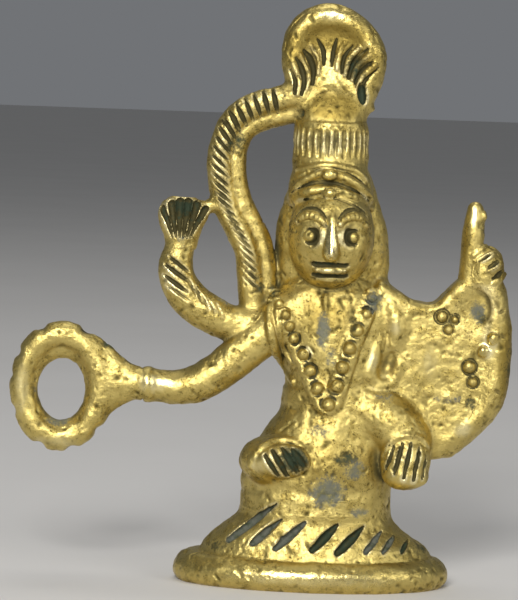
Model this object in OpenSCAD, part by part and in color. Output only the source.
// Small cast brass idol: a seated figure on an oval foot, with an outstretched arm
// that ends in a scalloped ring, a lotus held up beside a notched serpent loop, a tall
// fluted crown under a flared hood, and a raised hand joined to the body by a cast web.
// The figure faces -Y and +Z is up. The origin is the centre of the foot's underside.
// The nodes are the wax elements that are rolled, cut and pressed together before the
// casting is poured, so neighbours run a little way into each other.

/* [Foot] */
// Width of the oval foot
foot_w = 27.6; // [26:0.2:30]
// Depth of the oval foot
foot_d = 15.0; // [14:0.2:18]
// Height of the foot's rolled rim
rim_h = 2.8; // [2.4:0.1:3.0]
// Height at which the mound ends and the lap begins
mound_top = 8.0; // [7.6:0.1:8.4]
// Slanted leaf strokes around the mound
leaf_count = 16; // [10:1:20]

/* [Body] */
// Half width of the lap at the knees
lap_half_w = 7.6; // [7.4:0.1:8.2]
// Half depth of the torso
torso_half_d = 4.2; // [3.8:0.1:4.6]
// Height of the waist, where the lap meets the torso
waist_z = 19.0; // [18.6:0.1:19.4]

/* [Necklace] */
// Diameter of a bead
bead_d = 1.5; // [1.2:0.05:1.55]

/* [Ring hand] */
// Thickness of the arm at its wrist
wrist_d = 3.0; // [2.6:0.1:3.4]
// Width across the scalloped ring
ring_w = 10.2; // [9.8:0.1:11]
// Height of the scalloped ring
ring_h = 13.0; // [12:0.1:13.4]
// Thickness of the ring's own bar
ring_bar = 3.0; // [2.6:0.1:3.1]
// Scallops around the ring
scallop_count = 10; // [8:1:12]

/* [Loops] */
// Thickness of the serpent loop
serpent_d = 3.8; // [3.4:0.1:4.0]
// Notches along the serpent loop
notch_count = 24; // [16:1:28]
// Width of the open lotus
lotus_w = 5.0; // [4.4:0.1:5.6]

/* [Head and crown] */
// Width of the face
face_w = 8.8; // [8.2:0.1:9.4]
// Height of the face
face_h = 10.6; // [10:0.1:11]
// Diameter of the fluted crown band
crown_d = 7.6; // [7:0.1:8]
// Flutes around the crown band
flute_count = 28; // [14:1:32]
// Width of the hood
hood_w = 10.4; // [10:0.1:11]
// Height of the top of the hood above the ground
hood_top = 57.9; // [57.4:0.1:58.4]
// Thickness of the hood's plate
hood_t = 2.2; // [1.8:0.1:2.8]

/* [Hidden] */
$fn = 48;
limb_sides = 14;
curve_steps = 3;
foot_ratio = foot_d / foot_w;
brass = [0.80, 0.62, 0.26];
dark_brass = [0.55, 0.44, 0.20];
bright_brass = [0.90, 0.74, 0.38];

// Middle lines: each point is [x, y, z, radius]
arm_line = [[-3.6, -1.5, 26.8, 2.1], [-6.0, -1.8, 24.4, 2.0], [-8.0, -2, 22.7, 1.95],
    [-10.1, -2, 21.0, 1.95], [-12.0, -2, 19.8, 1.9], [-14.0, -2, 19.4, 1.75],
    [-15.6, -2, 19.5, 1.6], [-17.2, -2, 19.6, wrist_d / 2]];
ring_centre = [-25.5, -2, 19.2];
lotus_line = [[-5.6, -1, 26.0, 1.9], [-8.8, -1.2, 25.9, 1.8], [-11.2, -1.3, 26.9, 1.9],
    [-13.0, -1.4, 28.2, 1.9], [-14.1, -1.4, 29.8, 1.8], [-14.5, -1.4, 31.4, 1.7],
    [-14.3, -1.4, 32.8, 1.5], [-14.0, -1.4, 34.0, 1.3]];
loop_line = [[-2.9, -0.6, 48.2], [-4.9, -0.6, 47.6], [-6.6, -0.6, 47.1], [-8.8, -0.6, 45.6],
    [-9.8, -0.6, 42.8], [-9.7, -0.6, 40.2], [-9.1, -0.6, 37.9], [-8.0, -0.6, 35.8],
    [-7.0, -0.6, 33.9], [-6.5, -0.6, 31.8], [-6.3, -0.6, 29.5], [-6.0, -0.6, 27.4]];
garland_line = [[-5.4, -3.2, 28.4, 0.6], [-5.2, -3.8, 26.0, 0.7], [-4.2, -4.2, 23.4, 0.7],
    [-2.4, -4.5, 20.2, 0.65], [-0.8, -4.6, 17.6, 0.5]];
tongue_line = [[-4.6, -4.0, 28.4, 0.5], [-3.5, -4.5, 24.4, 0.5], [-1.8, -4.7, 20.4, 0.5],
    [-0.4, -4.8, 17.8, 0.5], [1.1, -4.8, 16.9, 0.55], [2.7, -4.8, 18.2, 0.5],
    [3.8, -4.7, 21.4, 0.5], [4.6, -4.4, 25.4, 0.5], [5.1, -4.0, 28.6, 0.45]];
bead_places = [[-4.3, -4.2, 28.3], [-3.4, -4.5, 26.7], [-2.5, -4.6, 25.0], [-1.6, -4.7, 23.4],
    [-0.8, -4.7, 21.7], [-0.1, -4.8, 19.9], [1.1, -4.8, 18.5], [1.9, -4.8, 20.2],
    [2.4, -4.8, 22.1], [3.0, -4.7, 23.9], [3.6, -4.5, 25.7], [4.2, -4.3, 27.4],
    [4.9, -4.0, 29.0]];
sash_line = [[5.6, -4.2, 24.8, 0.6], [5.3, -4.4, 22.8, 0.7], [5.6, -4.5, 21.0, 0.75],
    [6.6, -4.4, 20.2, 0.75], [7.5, -4.2, 21.0, 0.7], [7.8, -4.0, 22.8, 0.6]];
forearm_line = [[13.2, -1.0, 14.3, 1.2], [15.4, -1.0, 16.5, 1.3], [17.2, -1.1, 19.0, 1.5],
    [17.7, -1.2, 22.4, 1.5], [17.7, -1.2, 26.0, 1.5], [17.1, -1.2, 29.8, 1.6]];
thumb_line = [[14.9, -1.2, 31.4, 1.5], [14.9, -1.3, 33.8, 1.4], [15.0, -1.4, 36.4, 1.1],
    [15.1, -1.4, 38.2, 0.8]];
thigh_line = [[4.6, -1.5, 18.0, 2.8], [7.0, -2.8, 17.0, 3.0], [8.8, -3.2, 15.4, 2.6]];
lower_fold = [[-3.4, -3.2, 38.6, 0.6], [-1.7, -4.8, 39.8, 0.75], [0.5, -5.3, 40.4, 0.8],
    [2.7, -4.8, 39.8, 0.75], [4.4, -3.2, 38.6, 0.6]];
upper_fold = [[-2.6, -2.8, 40.8, 0.6], [-1.2, -4.0, 41.8, 0.7], [0.5, -4.4, 42.3, 0.75],
    [2.2, -4.0, 41.8, 0.7], [3.6, -2.8, 40.8, 0.6]];

// Cross sections by height: each row is [z, centre x, half width, half depth]
lap_rows = [[mound_top, 0.3, 7.3, 4.8], [9.2, 0.3, 7.3, 5.0], [11.0, 0.5, lap_half_w, 5.2],
    [12.6, 0.8, lap_half_w - 0.1, 5.2], [14.4, 1.2, 7.0, 5.0], [16.2, 1.6, 6.0, 4.6],
    [waist_z - 1.4, 1.8, 5.3, 4.3], [waist_z, 1.8, 5.0, torso_half_d]];
torso_rows = [[waist_z, 1.8, 5.0, torso_half_d], [21.4, 1.9, 5.2, torso_half_d],
    [24.4, 1.7, 6.0, torso_half_d], [27.0, 1.4, 6.8, 4.0], [29.0, 1.2, 6.4, 3.6],
    [30.2, 1.0, 4.8, 3.0], [31.0, 1.0, 3.4, 2.6]];
hair_rows = [[28.6, 0.9, 5.4, 2.0], [30.4, 1.0, 5.6, 2.5], [33.6, 1.0, 5.7, 2.8],
    [36.2, 0.9, 5.4, 2.8], [38.6, 0.8, 4.7, 2.7], [41.0, 0.8, 3.7, 2.5], [42.2, 0.6, 3.3, 2.4]];
bud_rows = [[33.5, -14.0, 1.4, 1.1], [34.6, -14.0, 1.7, 1.3],
    [36.0, -14.0, lotus_w / 2 - 0.2, 1.5], [37.4, -14.0, lotus_w / 2, 1.5],
    [38.4, -14.0, lotus_w / 2 - 0.7, 1.0]];
drum_rows = [[46.9, 0.4, 3.6, 3.0], [48.4, 0.5, 3.7, 2.6], [50.4, 0.5, 4.0, 2.1]];
// The hand widens towards the ring: here z is the distance out along -X and x is height
hand_rows = [[17.6, 19.6, wrist_d / 2, 1.4], [19.1, 19.9, 2.1, 1.4], [20.5, 19.9, 3.2, 1.3],
    [21.6, 19.7, 4.2, 1.1]];

// Outlines seen from the front: each point is [x, z]
hood_half = hood_w / 2;
hood_line = [[-3.2, 47.6], [-4.0, 49.8], [0.5 - hood_half, 52.2], [-4.4, 54.8], [-3.4, 56.5],
    [-1.6, hood_top - 0.4], [0.4, hood_top], [2.4, hood_top - 0.6], [4.1, 56.0], [5.2, 54.4],
    [0.5 + hood_half, 52.5], [5.2, 50.4], [4.3, 48.2], [4.1, 47.4]];
hood_middle = [0.5, 52.6];
rim_inset = 0.84;
web_line = [[5.6, 30.6], [7.6, 29.8], [9.4, 28.9], [11.2, 28.7], [12.4, 29.7], [13.8, 31.2],
    [15.6, 31.6], [17.4, 30.0], [18.4, 26.2], [18.5, 22.0], [18.0, 19.0], [16.4, 16.9],
    [14.0, 14.9], [12.4, 13.0], [10.4, 13.4], [7.6, 16.0], [5.2, 20.0], [4.8, 26.0]];

// A Catmull-Rom curve through the points, with n steps between neighbours
function along(p, i, t) =
    let(a = p[max(i - 1, 0)], b = p[i], c = p[i + 1], d = p[min(i + 2, len(p) - 1)])
    0.5 * (2 * b + (c - a) * t + (2 * a - 5 * b + 4 * c - d) * t * t
        + (3 * b - a - 3 * c + d) * t * t * t);
function curve(p, n) =
    [for (i = [0 : len(p) - 2]) for (k = [0 : n - 1]) along(p, i, k / n), p[len(p) - 1]];
function first3(p) = [p[0], p[1], p[2]];
function unit(v) = v / norm(v);

// A closed skin over rings that all have the same number of points
module skin(rings, closed = false) {
    n = len(rings[0]);
    m = len(rings);
    last = closed ? m - 1 : m - 2;
    sides = [for (j = [0 : last]) for (i = [0 : n - 1])
        [j * n + i, ((j + 1) % m) * n + i, ((j + 1) % m) * n + (i + 1) % n, j * n + (i + 1) % n]];
    ends = closed ? [] : [[for (i = [0 : n - 1]) i], [for (i = [n - 1 : -1 : 0]) (m - 1) * n + i]];
    polyhedron(points = [for (r = rings) each r], faces = concat(sides, ends), convexity = 6);
}

// One ring of a limb: across is the direction at right angles to the line in its plane
function limb_ring(c, tangent, r, depth, n) =
    let(side = unit(cross(tangent, [0, 1, 0])), up = unit(cross(side, tangent)))
    [for (i = [0 : n - 1]) let(a = -360 * i / n)
        first3(c) + side * r * cos(a) + up * r * depth * sin(a)];
function tangent_at(p, i) =
    unit(first3(p[min(i + 1, len(p) - 1)]) - first3(p[max(i - 1, 0)]));

// A round-ended limb along a line of [x, y, z, radius]; depth flattens it front to back
module limb(line, depth = 1, steps = curve_steps, n = limb_sides) {
    p = curve(line, steps);
    last = len(p) - 1;
    cap = [75, 50, 25];
    start = [for (a = cap) limb_ring(first3(p[0]) - tangent_at(p, 0) * p[0][3] * sin(a),
        tangent_at(p, 0), p[0][3] * cos(a), depth, n)];
    middle = [for (i = [0 : last]) limb_ring(p[i], tangent_at(p, i), p[i][3], depth, n)];
    finish = [for (k = [2 : -1 : 0])
        limb_ring(first3(p[last]) + tangent_at(p, last) * p[last][3] * sin(cap[k]),
            tangent_at(p, last), p[last][3] * cos(cap[k]), depth, n)];
    skin(concat(start, middle, finish));
}

// A body of oval sections stacked by height, about the plane y
module stack(rows, y = 0, steps = curve_steps, n = 24) {
    p = curve(rows, steps);
    skin([for (row = p) [for (i = [0 : n - 1]) let(a = 360 * i / n)
        [row[1] + row[2] * cos(a), y + row[3] * sin(a), row[0]]]]);
}

module blob(centre, radii, turn = [0, 0, 0]) {
    translate(centre) rotate(turn) scale(radii) sphere(r = 1);
}

// A plate cut to an outline seen from the front, from y = front to y = front + thick
module plate(line, front, thick, steps = curve_steps) {
    translate([0, front + thick, 0]) rotate([90, 0, 0]) linear_extrude(thick)
        polygon(curve(concat(line, [line[0]]), steps));
}

// A ring-punched mark: a low dome inside a raised ring, facing the front
module punch(centre, r) {
    translate(centre) rotate([90, 0, 0]) {
        rotate_extrude() translate([r, 0]) circle(r = 0.22);
        scale([1, 1, 0.7]) sphere(r = r * 0.72);
    }
}

// The rim is widest low down, where it was pressed on the bench
module foot_disc() {
    low = 0.9;
    color(bright_brass) difference() {
        scale([1, foot_ratio, 1]) rotate_extrude() {
            translate([0, -1]) square([foot_w / 2 - low, rim_h + 1]);
            translate([foot_w / 2 - low, low]) circle(r = low);
            translate([foot_w / 2 - low - 0.5, rim_h - 1.1]) circle(r = 1.1);
        }
        translate([-foot_w, -foot_w, -rim_h]) cube([2 * foot_w, 2 * foot_w, rim_h]);
    }
}

module leaf_mound() {
    foot_r = foot_w / 2 - 1.8;
    profile = curve([[foot_r, rim_h], [foot_r - 1.0, 4.0], [9.3, 5.4], [7.9, 6.7],
        [7.4, mound_top]], 3);
    color(brass) difference() {
        scale([1, foot_ratio, 1]) rotate_extrude() polygon(concat([[0, rim_h]], profile,
            [[0, mound_top]]));
        for (i = [0 : leaf_count - 1]) scale([1, foot_ratio, 1]) rotate([0, 0, 360 * i / leaf_count])
            translate([0, -9.7, 5.2]) rotate([-42, 36, 0]) scale([0.5, 0.5, 2.3]) sphere(r = 1);
    }
}

module lap() color(brass) stack(lap_rows);

module bent_knee() color(brass) blob([-4.4, -3.0, 12.5], [3.0, 3.0, 2.7]);

module hatched_foot() color(dark_brass) difference() {
    blob([-3.2, -5.0, 12.7], [2.7, 1.7, 1.6]);
    for (i = [-1 : 1]) translate([-3.3 + i * 1.2, -6.7, 12.7]) rotate([0, -35, 0])
        cylinder(h = 3, r = 0.3, center = true);
}

module far_thigh() color(brass) limb(thigh_line, 0.95);

module toe_foot() color(brass) difference() {
    blob([9.1, -4.2, 13.1], [2.5, 2.4, 2.9], [0, 8, 0]);
    for (i = [-2 : 2]) translate([9.2 + i * 0.9, -6.6 + abs(i) * 0.3, 13.2]) rotate([0, 8, 0])
        cylinder(h = 4.4 - abs(i) * 0.5, r = 0.26, center = true);
}

module torso() color(brass) stack(torso_rows);

module garland() color(brass) limb(garland_line, 0.9);

module necklace_tongue() color(bright_brass) limb(tongue_line, 0.9, 2);

module necklace_beads() color(dark_brass)
    for (place = bead_places) translate(place) sphere(d = bead_d);

module shoulder_ridge() color(brass) blob([7.6, -3.4, 26.5], [1.2, 1.5, 2.3]);

module sash_loop() color(brass) {
    limb(sash_line, 0.9);
    blob([6.0, -4.2, 23.0], [0.55, 1.0, 2.0]);
}

module ring_arm() color(brass) limb(arm_line, 0.9);

module wrist_bangle() color(bright_brass) translate([-17.3, -2, 19.6]) rotate([0, 90, 0])
    rotate_extrude() translate([wrist_d / 2, 0]) circle(r = 0.35);

module ring_hand() color(brass) rotate([0, -90, 0]) stack(hand_rows, -2, 2, 20);

// The bar swells at each scallop, on its outer side most
module scallop_ring() {
    mid = [(ring_w - ring_bar) / 2, (ring_h - ring_bar) / 2];
    steps = scallop_count * 5;
    color(brass) skin([for (i = [0 : steps - 1]) let(a = 360 * i / steps,
        c = ring_centre + [mid[0] * cos(a), 0, mid[1] * sin(a)],
        out = unit([mid[1] * cos(a), 0, mid[0] * sin(a)]),
        swell = abs(cos(scallop_count * a / 2)))
        [for (k = [0 : 11]) let(b = 30 * k, r = ring_bar / 2 - 0.3 * (1 - swell) * max(cos(b), 0))
            c + out * r * cos(b) + [0, ring_bar * 0.42 * sin(b), 0]]], true);
}

module lotus_arm() color(brass) limb(lotus_line, 0.9);

module lotus_bud() color(dark_brass) stack(bud_rows, -1.4);

module bud_bridge() color(brass) limb([[-12.0, -1.3, 37.3, 0.7], [-10.6, -1.0, 37.7, 0.8]]);

// The serpent's bar, nicked at even steps along its length
module serpent_loop() {
    p = curve(loop_line, 6);
    last = len(p) - 1;
    color(brass) skin([for (i = [0 : last]) let(nick = 0.5 + 0.5 * cos(360 * notch_count * i / last),
        end = min(1, 0.55 + 0.45 * min(i, last - i)))
        limb_ring(p[i], tangent_at(p, i), (serpent_d / 2 - 0.18 * nick) * end, 0.85, 12)]);
}

module hair_veil() color(dark_brass) stack(hair_rows, 0.6);

module head() color(brass) blob([0.8, -2.5, 35.0], [face_w / 2, 4.2, face_h / 2]);

module nose() color(bright_brass) hull() {
    translate([0.8, -6.2, 36.7]) sphere(r = 0.5, $fn = 16);
    translate([-0.1, -6.4, 33.4]) sphere(r = 0.55, $fn = 16);
    translate([1.7, -6.4, 33.4]) sphere(r = 0.55, $fn = 16);
    translate([0.8, -7.2, 33.6]) sphere(r = 0.5, $fn = 16);
}

module eyes() color(dark_brass) for (side = [-1, 1]) punch([0.8 + side * 2.1, -6.0, 35.2], 0.8);

module eyebrows() color(dark_brass) for (side = [-1, 1])
    limb([[0.8 + side * 0.9, -6.3, 36.7, 0.4], [0.8 + side * 2.1, -5.9, 37.4, 0.45],
        [0.8 + side * 3.4, -4.9, 36.6, 0.4]], 1, 3, 10);

module lips() color(bright_brass) for (z = [31.45, 32.15])
    blob([0.8, -5.9, z], [1.7, 0.7, 0.3]);

module turban_folds() color(brass) for (fold = [lower_fold, upper_fold]) limb(fold, 0.9, 3, 12);

module forehead_jewels() color(bright_brass) {
    blob([0.6, -5.8, 39.0], [0.75, 0.8, 0.75]);
    blob([0.5, -5.1, 41.4], [0.85, 0.8, 0.7]);
}

module crown_band() {
    r = crown_d / 2;
    color(brass) translate([0.5, -0.4, 41.9]) linear_extrude(46.9 - 41.9)
        polygon([for (a = [0 : 3 : 357])
            (r - 0.25 + 0.25 * cos(a * flute_count)) * [cos(a), 0.86 * sin(a)]]);
}

module crown_drum() color(brass) stack(drum_rows, -0.3);

module hood() color(brass) plate(hood_line, -hood_t / 2, hood_t);

module hood_rim() color(bright_brass)
    limb([for (p = hood_line) let(q = hood_middle + rim_inset * (p - hood_middle))
        [q[0], -0.4, q[1], 0.8]], 1.6, 2, 12);

// Ribs fan out from the foot of the hood, four to each side
module hood_flutes() color(dark_brass) for (side = [-1, 1]) for (i = [0 : 3]) {
    spread = 0.5 + i * 0.95;
    top = 55.2 - i * i * 0.3;
    limb([[0.5 + side * spread * 0.7, -1.2, 49.8, 0.3],
        [0.5 + side * spread * 0.85, -1.3, (49.8 + top) / 2, 0.38],
        [0.5 + side * spread * 1.05, -1.2, top, 0.3]], 1, 2, 8);
}

module wing_web() color(brass) plate(web_line, -2.8, 4.2);

module blessing_forearm() color(brass) limb(forearm_line, 1.3);

module blessing_palm() color(brass) blob([16.2, -1.3, 32.0], [2.1, 2.1, 2.7]);

module blessing_thumb() color(brass) limb(thumb_line, 1.1);

module blessing_fingers() color(bright_brass) for (i = [0 : 3]) {
    low = [16.4 + i * 0.28, -3.0, 34.0 - i * 1.05];
    limb([concat(low + [-0.9, -0.2, 0.5], 0.45), concat(low, 0.5),
        concat(low + [0.7, 0.6, -0.3], 0.4)], 1, 2, 10);
}

module elbow_boss() color(bright_brass) blob([16.8, -2.8, 24.5], [1.0, 1.0, 1.5]);

module rosettes() color(dark_brass) {
    for (place = [[12.0, -2.9, 27.5], [15.0, -2.9, 22.6]]) punch(place, 0.75);
    for (place = [[13.5, -2.9, 27.3], [12.7, -2.9, 26.0], [15.5, -2.9, 20.9]]) punch(place, 0.5);
}

foot_disc();
leaf_mound();
lap();
bent_knee();
hatched_foot();
far_thigh();
toe_foot();
torso();
garland();
necklace_tongue();
necklace_beads();
shoulder_ridge();
sash_loop();
ring_arm();
wrist_bangle();
ring_hand();
scallop_ring();
lotus_arm();
lotus_bud();
bud_bridge();
serpent_loop();
hair_veil();
head();
nose();
eyes();
eyebrows();
lips();
turban_folds();
forehead_jewels();
crown_band();
crown_drum();
hood();
hood_rim();
hood_flutes();
wing_web();
blessing_forearm();
blessing_palm();
blessing_thumb();
blessing_fingers();
elbow_boss();
rosettes();
